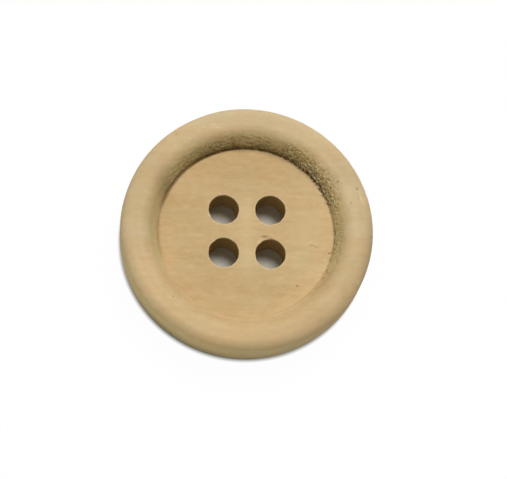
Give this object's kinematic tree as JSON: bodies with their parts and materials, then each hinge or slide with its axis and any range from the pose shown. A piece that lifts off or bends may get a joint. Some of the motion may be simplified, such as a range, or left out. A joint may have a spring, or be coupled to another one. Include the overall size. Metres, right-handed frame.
{
  "type": "sewing button",
  "caption": "Round turned wooden sewing button with a raised rounded rim, a flat recessed centre and a square of thread holes, sewn on with thread through the holes.",
  "frame": {"origin": "centre of the flat back face, on the button's turning axis", "axes": "+Z out of the front along the turning axis, +X along the grain and one row of thread holes, +Y along the other row"},
  "size_m": [0.02, 0.02, 0.0045],
  "materials": {
    "raw_wood": "raw, turned, unsealed"
  },
  "bodies": {
    "root": {"button": "raw_wood"}
  },
  "joints": []
}
